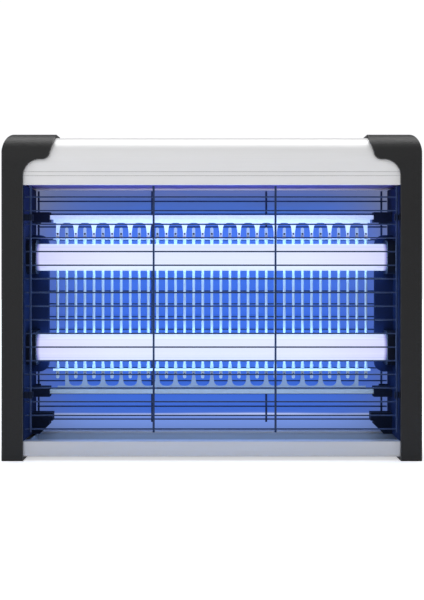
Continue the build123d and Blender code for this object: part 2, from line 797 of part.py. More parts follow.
def make_terminal_block():
    """Three-way screw terminal on the floor plate."""
    length, block_width, block_height = terminal_size
    left = terminal_x - length / 2
    right = terminal_x + length / 2
    block = box(left, right, -block_width / 2, block_width / 2, floor_top, floor_top + block_height)
    for y in (-terminal_pitch, 0, terminal_pitch):
        block -= rod_x(terminal_bore, left - 1, right + 1, y, floor_top + terminal_entry)
        block -= rod_z(terminal_bore, floor_top + terminal_entry, floor_top + block_height + 1, terminal_x, y)
    return block


def lead(points, bend):
    """An insulated wire of round section along straight runs with rounded turns."""
    path = FilletPolyline(*points, radius=bend)
    section = Plane(origin=path @ 0, z_dir=path % 0) * Circle(lead_radius)
    return sweep(section, path)


def make_board_leads(side, y, end_heights):
    """Wires from the board's end, through a cap, to the outer face of a carrier."""
    leads = []
    tag_x = carrier_x + carrier_wall
    for i, z in enumerate(end_heights):
        x = side * (board_length / 2 - 4 - 2 * lead_spacing * i)
        drop_x = side * (cap_inner_x - 7 + lead_spacing * i)
        lift = board_top + 6 + lead_spacing * i
        points = [(x, y, board_top), (x, y, lift), (drop_x, y, lift), (drop_x, y, z), (side * tag_x, y, z)]
        leads.append(lead(points, lead_bend))
    return leads


def make_lamp_leads():
    heights = (upper_tube_z + holder_half_height, lower_tube_z + holder_half_height)
    leads = []
    for _, side in sides:
        leads.extend(make_board_leads(side, -16, heights))
    return group(leads)


def make_hv_leads():
    heights = (top_holder_z - 6, bottom_holder_z + 6)
    return group(make_board_leads(1, bar_y, heights))


def make_mains_leads():
    """Live and neutral from the gland to the terminal block."""
    leads = []
    entry_x = terminal_x - terminal_size[0] / 2 - 1
    entry_z = floor_top + terminal_entry
    turn_x = entry_x - lead_run
    start_y = half_depth - cap_wall - gland_nut_thickness - lead_run / 2
    for i, y in enumerate((0, terminal_pitch)):
        x = -gland_x + (i - 0.5) * lead_spacing
        lane = post_y - post_radius - lead_spacing * (i + 1)
        over_z = entry_z + 5 + lead_spacing * i
        points = [(x, start_y, gland_z), (x, lane, gland_z), (x, lane, over_z),
                  (turn_x, lane, over_z), (turn_x, y, entry_z), (entry_x, y, entry_z)]
        leads.append(lead(points, lead_bend))
    return group(leads)


def make_gland():
    """Bush in the left cap's rear wall that the supply cord comes out of."""
    seat = half_depth - gland_flange_thickness
    gland = rod_y(gland_flange, seat, half_depth, -gland_x, gland_z)
    gland += rod_y(gland_radius, half_depth - cap_wall - gland_nut_thickness - 1, seat, -gland_x, gland_z)
    return gland - rod_y(gland_bore, 0, half_depth + 1, -gland_x, gland_z)


def make_gland_nut():
    inner = half_depth - cap_wall
    nut = extrude(Plane.XZ.offset(-inner) * RegularPolygon(gland_flange, 6), gland_nut_thickness)
    nut = Pos(-gland_x, 0, gland_z) * nut
    return nut - rod_y(gland_radius, 0, half_depth, -gland_x, gland_z)


# --- write every part --------------------------------------------------------------------
os.makedirs("parts", exist_ok=True)

front_wires = make_guard_wires()
front_uprights = make_guard_uprights()
front_fittings = make_guard_fittings()
even_rods = make_rods(0, upper_tip, lower_tip)
odd_rods = make_rods(1, lower_tip, upper_tip)
transformer = (-68, 44, 34, 30)
choke_a = (42, 30, 26, 22)
choke_b = (78, 30, 26, 22)

parts = {
    "top_housing": make_housing(),
    "housing_floor": make_floor(),
    "front_rail": make_front_rail(),
    "rear_rail": turned(make_front_rail()),
    "end_cap_screws": make_cap_screws(),
    "carrier_screws": make_carrier_screws(),
    "collection_tray": make_tray(),
    "tray_pull": make_tray_pull(),
    "front_guard_wires": front_wires,
    "front_guard_uprights": front_uprights,
    "front_guard_fittings": front_fittings,
    "rear_guard_wires": turned(front_wires),
    "rear_guard_uprights": turned(front_uprights),
    "rear_guard_fittings": turned(front_fittings),
    "top_grid_bar": make_bar(top_bar_z, -1),
    "bottom_grid_bar": make_bar(bottom_bar_z, 1),
    "top_comb": make_comb(top_bar_z, upper_tip, 0, comb_half_length),
    "bottom_comb": make_comb(bottom_bar_z, lower_tip, 1, rod_span),
    "upper_hung_rods": even_rods,
    "lower_held_rods": odd_rods,
    "upper_spacer_strip": make_strip(upper_strip_z),
    "lower_spacer_strip": make_strip(lower_strip_z),
    "circuit_board": make_board(),
    "board_pillars": make_pillars(),
    "transformer_core": make_core(*transformer),
    "transformer_winding": make_winding(*transformer),
    "lamp_choke_cores": group([make_core(*choke_a), make_core(*choke_b)]),
    "lamp_choke_windings": group([make_winding(*choke_a), make_winding(*choke_b)]),
    "film_capacitors": make_capacitors(),
    "reservoir_capacitor": make_reservoir(),
    "fuse": make_fuse(),
    "terminal_block": make_terminal_block(),
    "lamp_leads": make_lamp_leads(),
    "high_voltage_leads": make_hv_leads(),
    "mains_leads": make_mains_leads(),
    "cable_gland": make_gland(),
    "gland_nut": make_gland_nut(),
    "corner_gussets": group([make_gusset(side) for _, side in sides]),
}

for name, side in sides:
    parts[name + "_end_cap"] = make_cap(side)
    parts[name + "_lamp_carrier"] = make_carrier(side)
    parts[name + "_top_grid_holder"] = make_grid_holder(side, top_holder_z)
    parts[name + "_bottom_grid_holder"] = make_grid_holder(side, bottom_holder_z)
    for level, z in (("upper", upper_tube_z), ("lower", lower_tube_z)):
        parts[level + "_" + name + "_lampholder"] = make_lampholder(side, z)
        parts[level + "_" + name + "_rotor"] = make_rotor(side, z)

for level, z in (("upper", upper_tube_z), ("lower", lower_tube_z)):
    parts[level + "_tube_glass"] = make_tube_glass(z)
    parts[level + "_tube_caps"] = make_tube_caps(z)
    parts[level + "_tube_pins"] = make_tube_pins(z)

for name, shape in parts.items():
    write(name, shape)
print(len(parts), "parts written")
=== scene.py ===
# %% [markdown]
# # An electric bug zapper, lit and running
# The object is a two-sided insect killer: two ultraviolet tubes in front of a high voltage grid,
# under an aluminium housing, between two black end caps, with a wire guard front and rear.
# Every working part comes ready-made from the design frame. This lesson sets up the studio,
# gives each part its finish, and adds the small things that assembly leaves behind.

# %% Load the design frame
import json
import math

import bmesh
import bpy
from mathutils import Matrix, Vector


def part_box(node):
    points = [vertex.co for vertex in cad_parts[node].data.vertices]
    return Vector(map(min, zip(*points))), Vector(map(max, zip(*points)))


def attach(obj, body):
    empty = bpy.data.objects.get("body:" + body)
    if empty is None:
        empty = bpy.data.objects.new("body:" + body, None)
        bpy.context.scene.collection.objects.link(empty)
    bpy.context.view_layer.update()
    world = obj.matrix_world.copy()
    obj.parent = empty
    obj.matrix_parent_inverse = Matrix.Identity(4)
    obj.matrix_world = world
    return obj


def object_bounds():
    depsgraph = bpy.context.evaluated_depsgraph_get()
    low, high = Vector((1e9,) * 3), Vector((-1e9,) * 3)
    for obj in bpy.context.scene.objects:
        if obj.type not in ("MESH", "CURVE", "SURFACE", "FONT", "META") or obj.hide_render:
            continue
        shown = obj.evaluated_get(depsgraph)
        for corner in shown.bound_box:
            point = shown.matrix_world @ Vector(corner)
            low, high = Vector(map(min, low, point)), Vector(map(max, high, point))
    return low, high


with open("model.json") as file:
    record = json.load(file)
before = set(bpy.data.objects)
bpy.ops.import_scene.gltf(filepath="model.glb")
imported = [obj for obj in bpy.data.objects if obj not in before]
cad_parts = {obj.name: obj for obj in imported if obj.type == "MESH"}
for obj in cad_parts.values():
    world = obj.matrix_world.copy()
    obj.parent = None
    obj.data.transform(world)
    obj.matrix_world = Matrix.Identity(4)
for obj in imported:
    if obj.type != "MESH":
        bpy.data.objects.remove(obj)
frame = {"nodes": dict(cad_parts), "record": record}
cad_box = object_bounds()
nodes = frame["nodes"]
print(len(nodes), "parts, box", cad_box)

# %% [markdown]
# ## Camera
# The object is looked at straight on, from a little over a metre, slightly above its middle.
# A wide lens close by would splay the end caps, so a moderately long one is used from further
# off. The camera could be tilted to centre the object, but then the caps would lean. It stays
# level, and a small downward shift of the lens does the framing.

# %% Camera
object_low, object_high = (Vector(corner) for corner in cad_box)
sensor_size = 36.0
view_distance = 1.15
view_height = 0.1788
view_offset = 0.0002
nearest_seen = 0.05
frame_height = 0.5552          # metres of the front plane that fit the frame's height
centre_drop = 0.0533           # lens shift, as a share of the frame's height

camera_data = bpy.data.cameras.new("camera")
camera_data.sensor_width = sensor_size
camera_data.lens = sensor_size * view_distance / frame_height
camera_data.shift_y = -centre_drop
camera_data.clip_start = nearest_seen
camera = bpy.data.objects.new("camera", camera_data)
camera.location = (view_offset, object_low.y - view_distance, view_height)
camera.rotation_euler = (math.pi / 2, 0, 0)
bpy.context.scene.collection.objects.link(camera)
bpy.context.scene.camera = camera
print("lens", round(camera_data.lens, 1), "mm")

# %% [markdown]
# ## Small helpers
# Most finishes are a Principled shader with a few nodes in front of it. Four short helpers
# keep the material cells readable: one adds a node, one joins two sockets, one makes a
# material and hands back its tree and shader, and one sets up a colour ramp.

# %% Node helpers
def add(tree, kind, **settings):
    """Add a node and set its properties and input values by name."""
    node = tree.nodes.new(kind)
    for name, value in settings.items():
        if hasattr(node, name):
            setattr(node, name, value)
        else:
            node.inputs[name.replace("_", " ")].default_value = value
    return node


def join(tree, source, target):
    tree.links.new(source, target)


def new_material(name, **shader_values):
    """A material with one Principled shader, whose plain values are given by name."""
    material = bpy.data.materials.new(name)
    material.use_nodes = True
    tree = material.node_tree
    shader = tree.nodes["Principled BSDF"]
    for key, value in shader_values.items():
        shader.inputs[key.replace("_", " ")].default_value = value
    return material, tree, shader


def ramp(tree, source, stops):
    """A colour ramp fed by a source; stops are (position, colour) pairs."""
    node = add(tree, "ShaderNodeValToRGB")
    elements = node.color_ramp.elements
    while len(elements) < len(stops):
        elements.new(0.5)
    for element, (position, colour) in zip(elements, stops):
        element.position = position
        element.color = (*colour, 1) if len(colour) == 3 else colour
    join(tree, source, node.inputs["Fac"])
    return node


# %% [markdown]
# ## Shared surface effects
# Four effects come back in many finishes: the fine grain of moulded plastic, the lengthwise
# lines of drawn aluminium, the polish that handling leaves on edges together with a painted
# highlight along them, and a little dust on what faces up. Each is a node group, built once,
# with its own inputs, so that every material can place it at its own scale. Painted images
# could do the same, but they would need every part laid out flat, and noise in space does not.
# The groups put out only masks and heights.

# %% Start a node group
def new_group(name, inputs, outputs):
    """A shader node group with float inputs (name, value) and float outputs."""
    tree = bpy.data.node_groups.new(name, "ShaderNodeTree")
    number = "NodeSocketFloat"
    for label, value in inputs:
        socket = tree.interface.new_socket(name=label, in_out="INPUT", socket_type=number)
        socket.default_value = value
    for label in outputs:
        tree.interface.new_socket(name=label, in_out="OUTPUT", socket_type=number)
    entry = tree.nodes.new("NodeGroupInput")
    leave = tree.nodes.new("NodeGroupOutput")
    return tree, entry, leave


def place_group(tree, group, **values):
    node = tree.nodes.new("ShaderNodeGroup")
    node.node_tree = group
    for key, value in values.items():
        node.inputs[key.replace("_", " ")].default_value = value
    return node


def math_node(tree, operation, first, second):
    """Math on two sockets or plain numbers."""
    node = add(tree, "ShaderNodeMath", operation=operation)
    for slot_index, source in enumerate((first, second)):
        if isinstance(source, (int, float)):
            node.inputs[slot_index].default_value = source
        else:
            join(tree, source, node.inputs[slot_index])
    return node.outputs[0]


# %% Moulded grain
moulded_grain, entry, leave = new_group("moulded grain", [("Scale", 900.0)], ["Height", "Blotch"])
place = add(moulded_grain, "ShaderNodeTexCoord")
fine = add(moulded_grain, "ShaderNodeTexNoise", Detail=3.0, Roughness=0.6)
join(moulded_grain, place.outputs["Object"], fine.inputs["Vector"])
join(moulded_grain, entry.outputs["Scale"], fine.inputs["Scale"])
broad = add(moulded_grain, "ShaderNodeTexNoise", Scale=14.0, Detail=4.0)
join(moulded_grain, place.outputs["Object"], broad.inputs["Vector"])
join(moulded_grain, fine.outputs["Fac"], leave.inputs["Height"])
join(moulded_grain, broad.outputs["Fac"], leave.inputs["Blotch"])
print("moulded grain:", len(moulded_grain.nodes), "nodes")

# %% Lengthwise drawn lines
line_stretch = (0.004, 1.0, 1.0)      # the noise changes slowly along X, the way of drawing

drawn_lines, entry, leave = new_group("drawn lines", [("Fineness", 2600.0)], ["Line", "Patch"])
place = add(drawn_lines, "ShaderNodeTexCoord")
squash = add(drawn_lines, "ShaderNodeVectorMath", operation="MULTIPLY")
squash.inputs[1].default_value = line_stretch
join(drawn_lines, place.outputs["Object"], squash.inputs[0])
lines = add(drawn_lines, "ShaderNodeTexNoise", Detail=2.0)
join(drawn_lines, squash.outputs[0], lines.inputs["Vector"])
join(drawn_lines, entry.outputs["Fineness"], lines.inputs["Scale"])
patch = add(drawn_lines, "ShaderNodeTexNoise", Scale=9.0, Detail=3.0)
join(drawn_lines, place.outputs["Object"], patch.inputs["Vector"])
join(drawn_lines, lines.outputs["Fac"], leave.inputs["Line"])
join(drawn_lines, patch.outputs["Fac"], leave.inputs["Patch"])
print("drawn lines:", len(drawn_lines.nodes), "nodes")

# %% Worn edges and painted edge highlight
wear_and_highlight_contrast = 6.0

# The finishes turn the edges found here lighter: partly wear, partly a painted highlight.
edge_wear_and_highlight, entry, leave = new_group("edge wear and painted highlight", [("Width", 0.0008), ("Amount", 1.0)], ["Mask"])
soft = add(edge_wear_and_highlight, "ShaderNodeBevel", samples=4)
join(edge_wear_and_highlight, entry.outputs["Width"], soft.inputs["Radius"])
sharp = add(edge_wear_and_highlight, "ShaderNodeNewGeometry")
turn = add(edge_wear_and_highlight, "ShaderNodeVectorMath", operation="DOT_PRODUCT")
join(edge_wear_and_highlight, soft.outputs["Normal"], turn.inputs[0])
join(edge_wear_and_highlight, sharp.outputs["Normal"], turn.inputs[1])
place = add(edge_wear_and_highlight, "ShaderNodeTexCoord")
break_up = add(edge_wear_and_highlight, "ShaderNodeTexNoise", Scale=160.0, Detail=3.0)
join(edge_wear_and_highlight, place.outputs["Object"], break_up.inputs["Vector"])
bend = math_node(edge_wear_and_highlight, "SUBTRACT", 1.0, turn.outputs["Value"])
bend = math_node(edge_wear_and_highlight, "MULTIPLY", bend, wear_and_highlight_contrast)
bend = math_node(edge_wear_and_highlight, "MINIMUM", bend, 1.0)
bend = math_node(edge_wear_and_highlight, "MULTIPLY", bend, break_up.outputs["Fac"])
bend = math_node(edge_wear_and_highlight, "MULTIPLY", bend, entry.outputs["Amount"])
join(edge_wear_and_highlight, bend, leave.inputs["Mask"])
print("edge wear and painted highlight:", len(edge_wear_and_highlight.nodes), "nodes")

# %% Settled dust
dust_steepness = 3.0

settled_dust, entry, leave = new_group("settled dust", [("Amount", 0.3)], ["Mask"])
facing = add(settled_dust, "ShaderNodeNewGeometry")
split = add(settled_dust, "ShaderNodeSeparateXYZ")
join(settled_dust, facing.outputs["Normal"], split.inputs[0])
place = add(settled_dust, "ShaderNodeTexCoord")
specks = add(settled_dust, "ShaderNodeTexNoise", Scale=240.0, Detail=5.0)
join(settled_dust, place.outputs["Object"], specks.inputs["Vector"])
up = math_node(settled_dust, "MAXIMUM", split.outputs["Z"], 0.0)
up = math_node(settled_dust, "POWER", up, dust_steepness)
up = math_node(settled_dust, "MULTIPLY", up, specks.outputs["Fac"])
up = math_node(settled_dust, "MULTIPLY", up, entry.outputs["Amount"])
join(settled_dust, up, leave.inputs["Mask"])
print("effects:", [group.name for group in bpy.data.node_groups])


# %% [markdown]
# ## Mixing and bumping
# Every finish blends a few colours by masks, stretches a mask to a range, and turns a height
# into a bump. A Mix node keeps separate sockets for numbers, vectors and colours, so its
# colour sockets are picked by place, and the places are named once here.

# %% Blend helpers
mix_first, mix_second, mix_result = 6, 7, 2      # the colour sockets of a Mix node


def blend_colours(tree, mask, first, second, way="MIX"):
    """Mix two colours, or colour sockets, by a mask that is a socket or a number."""
    node = add(tree, "ShaderNodeMix", data_type="RGBA", blend_type=way)
    if isinstance(mask, (int, float)):
        node.inputs["Factor"].default_value = mask
    else:
        join(tree, mask, node.inputs["Factor"])
    for place_in_node, colour in ((mix_first, first), (mix_second, second)):
        if isinstance(colour, tuple):
            node.inputs[place_in_node].default_value = (*colour, 1)
        else:
            join(tree, colour, node.inputs[place_in_node])
    return node.outputs[mix_result]


def shade_of(colour, share):
    """The same colour, darker."""
    return tuple(channel * share for channel in colour)


def spread(tree, source, low, high):
    """Map a 0 to 1 socket to the range low to high."""
    node = add(tree, "ShaderNodeMapRange")
    node.inputs["To Min"].default_value = low
    node.inputs["To Max"].default_value = high
    join(tree, source, node.inputs["Value"])
    return node.outputs["Result"]


def bump(tree, shader, height, strength, distance):
    node = add(tree, "ShaderNodeBump", Strength=strength, Distance=distance)
    join(tree, height, node.inputs["Height"])
    join(tree, node.outputs["Normal"], shader.inputs["Normal"])


# %% [markdown]
# ## Black moulded plastic
# The end caps are injection moulded in a near-black plastic with a fine satin grain. The colour
# is almost even, so the finish lives in its roughness: slightly polished along the edges that
# hands touch, slightly cloudy elsewhere, and with a breath of dust on top. The edges are also
# painted lighter, partly as wear and partly as a painted highlight. Modelling the grain would
# take millions of faces, so it is a bump. The same recipe, duller or in other colours, serves
# the inner walls, the lamp carriers, the rotors and the wire insulation.

# %% Moulded plastic recipe
plastic_index = 1.5            # index of refraction
plastic_edge_wear_and_highlight_width = 0.001
plastic_edge_wear_and_highlight_amount = 1.5
edge_polish = 0.15
grain_strength = 0.45
grain_depth = 0.0005
plastic_dust_colour = (0.32, 0.31, 0.3)


def moulded_plastic(name, colour, edge_wear_and_highlight_colour, roughness, grain, dust, shine=0.32):
    """Satin plastic with fine grain, edges lightened by wear and a painted highlight, and a little
    dust.
    """
    material, tree, shader = new_material(name, IOR=plastic_index, Specular_IOR_Level=shine)
    skin = place_group(tree, moulded_grain, Scale=grain)
    rub_and_highlight = place_group(tree, edge_wear_and_highlight, Width=plastic_edge_wear_and_highlight_width, Amount=plastic_edge_wear_and_highlight_amount)
    lint = place_group(tree, settled_dust, Amount=dust)
    tone = blend_colours(tree, skin.outputs["Blotch"], shade_of(colour, 0.8), colour)
    # Painted highlight: edges blend towards the lighter edge colour, partly as wear.
    tone = blend_colours(tree, rub_and_highlight.outputs["Mask"], tone, edge_wear_and_highlight_colour)
    tone = blend_colours(tree, lint.outputs["Mask"], tone, plastic_dust_colour)
    join(tree, tone, shader.inputs["Base Color"])
    cloud = spread(tree, skin.outputs["Blotch"], roughness - 0.06, roughness + 0.08)
    polish = math_node(tree, "MULTIPLY", rub_and_highlight.outputs["Mask"], edge_polish)
    join(tree, math_node(tree, "SUBTRACT", cloud, polish), shader.inputs["Roughness"])
    bump(tree, shader, skin.outputs["Height"], grain_strength, grain_depth)
    return material


# name, colour, edge colour (wear and painted highlight), roughness, grain, dust, and for the dull
# inner walls the shine
dull_shine = 0.12
cap_plastic = moulded_plastic(
    "cap plastic", (0.0084, 0.0086, 0.0092), (0.085, 0.085, 0.088), 0.42, 620.0, 0.07)
# Painted lamp light: the inner walls and the lamp carriers are black plastic with the lamps' blue
# painted into their colour.
inner_plastic = moulded_plastic(
    "inner plastic painted blue", (0.003, 0.007, 0.022), (0.010, 0.016, 0.040), 0.66, 700.0, 0.02, dull_shine)
carrier_plastic_painted_blue = moulded_plastic(
    "carrier plastic painted blue", (0.003, 0.011, 0.050), (0.010, 0.025, 0.08), 0.66, 700.0, 0.02, dull_shine)
rotor_plastic = moulded_plastic(
    "rotor plastic", (0.75, 0.75, 0.72), (0.82, 0.82, 0.8), 0.35, 700.0, 0.05)
lead_plastic = moulded_plastic(
    "lead insulation", (0.42, 0.03, 0.025), (0.5, 0.06, 0.05), 0.45, 900.0, 0.02)
print("plastics made")

# %% [markdown]
# ## Aluminium
# The housing and rails are drawn through a die and satin anodised, which leaves faint lines
# along their length and a soft, wide highlight. Stretched noise gives the lines, as a small
# change of roughness and a very shallow bump: as real grooves they would be finer than any
# mesh. The creases are darkened with painted shade, which ambient occlusion finds without
# painting them by hand, and the edges are painted lighter, partly as bare worn metal and partly
# as a painted highlight. The sheet parts inside are plain mill-finish metal in the same recipe.

# %% Drawn aluminium recipe
line_fineness = 2400.0
line_depth = 0.0001
metal_edge_wear_and_highlight_width = 0.0006
metal_edge_wear_and_highlight_amount = 0.8
metal_dust_amount = 0.12
bare_metal_and_highlight = (0.93, 0.93, 0.94)
metal_dust_colour = (0.6, 0.59, 0.57)
crease_reach = 0.0012
crease_samples = 6


def drawn_aluminium(name, colour, roughness, metallic, line_bump):
    """Satin anodised aluminium with drawn lines, edges lightened by wear and a painted highlight,
    and painted shade in its creases.
    """
    material, tree, shader = new_material(name, Metallic=metallic)
    lines = place_group(tree, drawn_lines, Fineness=line_fineness)
    rub_and_highlight = place_group(tree, edge_wear_and_highlight, Width=metal_edge_wear_and_highlight_width, Amount=metal_edge_wear_and_highlight_amount)
    lint = place_group(tree, settled_dust, Amount=metal_dust_amount)
    # Painted shade: the colour is darkened in the creases that ambient occlusion finds.
    crease = add(tree, "ShaderNodeAmbientOcclusion", samples=crease_samples, only_local=True)
    crease.inputs["Distance"].default_value = crease_reach
    painted_crease_shade = math_node(tree, "SUBTRACT", 1.0, crease.outputs["AO"])
    tone = blend_colours(tree, lines.outputs["Line"], shade_of(colour, 0.93), colour)
    # Painted highlight: edges blend towards bright bare metal, partly as wear.
    tone = blend_colours(tree, rub_and_highlight.outputs["Mask"], tone, bare_metal_and_highlight)
    tone = blend_colours(tree, lint.outputs["Mask"], tone, metal_dust_colour)
    tone = blend_colours(tree, painted_crease_shade, tone, shade_of(colour, 0.35))
    join(tree, tone, shader.inputs["Base Color"])
    soft = spread(tree, lines.outputs["Line"], roughness - 0.07, roughness + 0.07)
    drift = spread(tree, lines.outputs["Patch"], -0.04, 0.04)
    join(tree, math_node(tree, "ADD", soft, drift), shader.inputs["Roughness"])
    bump(tree, shader, lines.outputs["Line"], line_bump, line_depth)
    return material


# name, colour, roughness, metallic, depth of the drawn lines
housing_aluminium = drawn_aluminium("housing aluminium", (0.81, 0.81, 0.812), 0.44, 0.3, 0.06)
rail_aluminium = drawn_aluminium("rail aluminium", (0.56, 0.57, 0.60), 0.42, 0.5, 0.08)
sheet_aluminium = drawn_aluminium("sheet aluminium", (0.40, 0.47, 0.56), 0.38, 0.45, 0.05)
# Painted lamp light: the floor plate over the lamps has the lamps' violet painted into its colour.
floor_plate_painted_violet = drawn_aluminium("floor plate aluminium painted violet", (0.12, 0.085, 0.34), 0.38, 0.45, 0.05)
print("aluminiums made")

# %% [markdown]
# ## Bright steel
# The grid's rods and comb plates are bright drawn and stamped steel. They sit beside the lamps
# and catch most of the light, so they get a cool grey, low roughness, and fine scratches from
# the forming rollers. The grey comes in painted lit and shaded copies: the upper bar and comb
# are painted bright as if lit, and the rods and lower plates darker as if shaded. Fully metallic
# steel would mirror the dark inside of the object and turn black, so those beside the lamps are
# only partly metallic, as a satin surface full of scratches behaves. Brass and the iron cores
# use the same recipe.

# %% Steel recipe
scratch_strength = 0.1
scratch_depth = 0.0001


def bright_steel(name, colour, roughness, scratch_scale, metallic=0.75):
    """Drawn or stamped metal with fine scratches."""
    material, tree, shader = new_material(name, Metallic=metallic)
    place = add(tree, "ShaderNodeTexCoord")
    scratches = add(tree, "ShaderNodeTexNoise", Scale=scratch_scale, Detail=4.0, Distortion=0.6)
    join(tree, place.outputs["Object"], scratches.inputs["Vector"])
    tone = blend_colours(tree, scratches.outputs["Fac"], shade_of(colour, 0.8), colour)
    join(tree, tone, shader.inputs["Base Color"])
    join(tree, spread(tree, scratches.outputs["Fac"], roughness - 0.1, roughness + 0.12),
         shader.inputs["Roughness"])
    bump(tree, shader, scratches.outputs["Fac"], scratch_strength, scratch_depth)
    return material


# name, colour, roughness, scratch fineness, metallic
# Painted light: the bar steel is painted bright as if lit, the rod and plate steel darker as if
# shaded.
rod_steel_painted_shaded = bright_steel("rod steel painted shaded", (0.42, 0.51, 0.58), 0.35, 420.0, 0.3)
plate_steel_painted_shaded = bright_steel("plate steel painted shaded", (0.27, 0.34, 0.44), 0.4, 420.0, 0.3)
bar_steel_painted_lit = bright_steel("bar steel painted lit", (0.84, 0.92, 0.96), 0.35, 420.0, 0.05)
screw_steel = bright_steel("screw steel", (0.34, 0.34, 0.35), 0.35, 700.0)
lamp_metal = bright_steel("lamp cap metal", (0.75, 0.76, 0.78), 0.3, 300.0)
contact_brass = bright_steel("contact brass", (0.72, 0.52, 0.22), 0.3, 500.0)
core_steel = bright_steel("core steel", (0.06, 0.06, 0.07), 0.55, 900.0)
print("steels made")

# %% [markdown]
# ## Guard wire
# The guards are welded steel wire with a thin blue-black coating. Coated wire is never quite
# even: the coat is thick where it pooled and thin on the outside of the wire, so noise moves
# its colour and roughness in short patches, under a faint clear coat. One even black would
# also do from afar, but close by it looks like drawn lines instead of wire.

# %% Guard wire
guard_wire, tree, shader = new_material(
    "guard wire", Coat_Weight=0.08, Coat_Roughness=0.2, Specular_IOR_Level=0.15)
place = add(tree, "ShaderNodeTexCoord")
coat = add(tree, "ShaderNodeTexNoise", Scale=260.0, Detail=3.0)
join(tree, place.outputs["Object"], coat.inputs["Vector"])
tone = blend_colours(tree, coat.outputs["Fac"], (0.008, 0.018, 0.060), (0.030, 0.055, 0.140))
join(tree, tone, shader.inputs["Base Color"])
join(tree, spread(tree, coat.outputs["Fac"], 0.22, 0.42), shader.inputs["Roughness"])
bump(tree, shader, coat.outputs["Fac"], 0.12, 0.0001)
print("guard wire made")

# %% [markdown]
# ## The lamps
# Each tube is clear glass coated inside with phosphor, so it glows evenly, near-white with a
# lavender cast, a touch more violet towards its ends. Its light is far bluer than it looks,
# because the eye and the lens saturate on the tube itself. A light inside a glass tube would be
# the literal way, and a noisy one. Here the glass itself glows, and says both: what is seen
# directly is the pale lavender, and what reaches other surfaces is the true violet-blue.

# %% Lamp glass
lit_colour = (1.7, 2.8, 5.2)             # what the lamp gives to other surfaces
painted_highlight_colour = (0.86, 0.90, 1.0)
rim_colour = (0.52, 0.72, 0.98)
along_stops = [(0.0, (0.66, 0.74, 0.95)), (0.55, (0.68, 0.74, 0.96)),
               (0.88, (0.62, 0.64, 0.95)), (1.0, (0.54, 0.56, 0.92))]
end_stops = [(0.0, (1, 1, 1)), (0.982, (1, 1, 1)), (1.0, (0.22, 0.2, 0.5))]
cloud_drift = 0.16

lamp_box = [Vector(corner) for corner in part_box("upper_tube_glass")]
tube_half = (lamp_box[1].x - lamp_box[0].x) / 2
lamp_glass, tree, shader = new_material("lamp glass", Roughness=0.18, Emission_Strength=1.0)
shader.inputs["Base Color"].default_value = (0.06, 0.06, 0.07, 1)
place = add(tree, "ShaderNodeTexCoord")
split = add(tree, "ShaderNodeSeparateXYZ")
join(tree, place.outputs["Object"], split.inputs[0])
along = math_node(tree, "ABSOLUTE", split.outputs["X"], 0.0)
along = math_node(tree, "DIVIDE", along, tube_half)
cloud = add(tree, "ShaderNodeTexNoise", Scale=7.0, Detail=2.0)
join(tree, place.outputs["Object"], cloud.inputs["Vector"])
end_tone = ramp(tree, along, end_stops)
drift = spread(tree, cloud.outputs["Fac"], -cloud_drift, cloud_drift)
seen = ramp(tree, math_node(tree, "ADD", along, drift), along_stops)
rim = add(tree, "ShaderNodeLayerWeight", Blend=0.35)
edge = math_node(tree, "POWER", rim.outputs["Facing"], 2.0)
# Painted highlight: pale streaks over the glow, placed by how squarely the glass faces the view.
highlight_streaks = add(tree, "ShaderNodeTexNoise", Scale=6.0, Detail=2.0)
join(tree, rim.outputs["Facing"], highlight_streaks.inputs["Vector"])
highlight_mask = spread(tree, highlight_streaks.outputs["Fac"], -0.3, 0.9)
pale = blend_colours(tree, highlight_mask, seen.outputs["Color"], painted_highlight_colour)
pale = blend_colours(tree, edge, pale, rim_colour)
pale = blend_colours(tree, 1.0, pale, end_tone.outputs["Color"], way="MULTIPLY")
path = add(tree, "ShaderNodeLightPath")
glow = blend_colours(tree, path.outputs["Is Camera Ray"], lit_colour, pale)
join(tree, glow, shader.inputs["Emission Color"])
print("lamp glass", round(2 * tube_half, 3), "m long")

# %% [markdown]
# ## Insulators and electrics
# The spacer strips are a milky insulating plastic. Inside the housing the circuit board is
# green laminate, the coils are wrapped in yellow tape, and the capacitors are dipped or sleeved.
# They are closed in, but a maker finishes them too, because the housing comes off. All are
# smooth and glossy, so one recipe with a little cloudiness serves them, and only the fuse is
# real glass, which light passes through.

# %% Small electrical finishes
def coloured_plastic(name, colour, roughness, scale):
    """Glossy plastic or lacquer with slight cloudiness."""
    material, tree, shader = new_material(name, IOR=1.48)
    place = add(tree, "ShaderNodeTexCoord")
    cloud = add(tree, "ShaderNodeTexNoise", Scale=scale, Detail=3.0)
    join(tree, place.outputs["Object"], cloud.inputs["Vector"])
    tone = blend_colours(tree, cloud.outputs["Fac"], shade_of(colour, 0.75), colour)
    join(tree, tone, shader.inputs["Base Color"])
    join(tree, spread(tree, cloud.outputs["Fac"], roughness - 0.08, roughness + 0.08),
         shader.inputs["Roughness"])
    bump(tree, shader, cloud.outputs["Fac"], 0.08, 0.0002)
    return material


# name, colour, roughness, cloud fineness
strip_plastic = coloured_plastic("strip plastic", (0.70, 0.76, 0.86), 0.3, 120.0)
board_laminate = coloured_plastic("board laminate", (0.03, 0.20, 0.07), 0.35, 180.0)
coil_tape = coloured_plastic("coil tape", (0.70, 0.52, 0.07), 0.3, 220.0)
film_case = coloured_plastic("film capacitor case", (0.42, 0.05, 0.03), 0.25, 90.0)
can_sleeve = coloured_plastic("can sleeve", (0.02, 0.03, 0.07), 0.3, 90.0)
print("small finishes made")

